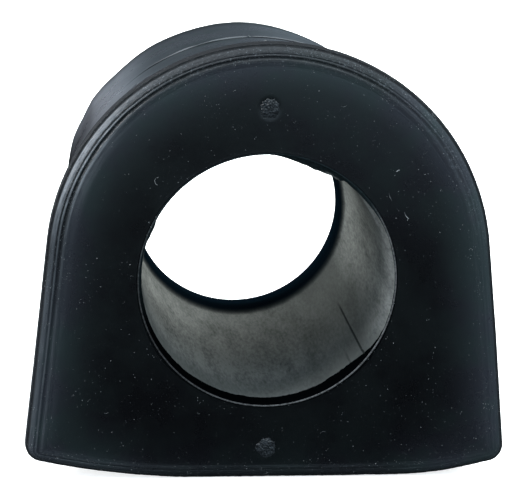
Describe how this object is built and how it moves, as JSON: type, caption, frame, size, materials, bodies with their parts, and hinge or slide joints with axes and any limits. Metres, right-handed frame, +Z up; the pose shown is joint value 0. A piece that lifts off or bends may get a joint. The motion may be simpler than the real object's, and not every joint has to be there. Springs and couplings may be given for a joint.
{
  "type": "sway bar bushing",
  "caption": "Black moulded rubber D-shaped bushing with a through bore and a flange round one end, which seats a stabiliser bar in its strap.",
  "frame": {"origin": "centre of the base's bounding rectangle, on the plane that the base rests on", "axes": "+Z up through the arch, the bore along Y with the flanged end at -Y, +X to the right seen from the flanged end"},
  "size_m": [0.051, 0.046, 0.0461],
  "materials": {
    "rubber": "satin moulded black rubber"
  },
  "bodies": {
    "root": {"bushing": "rubber"}
  },
  "joints": []
}
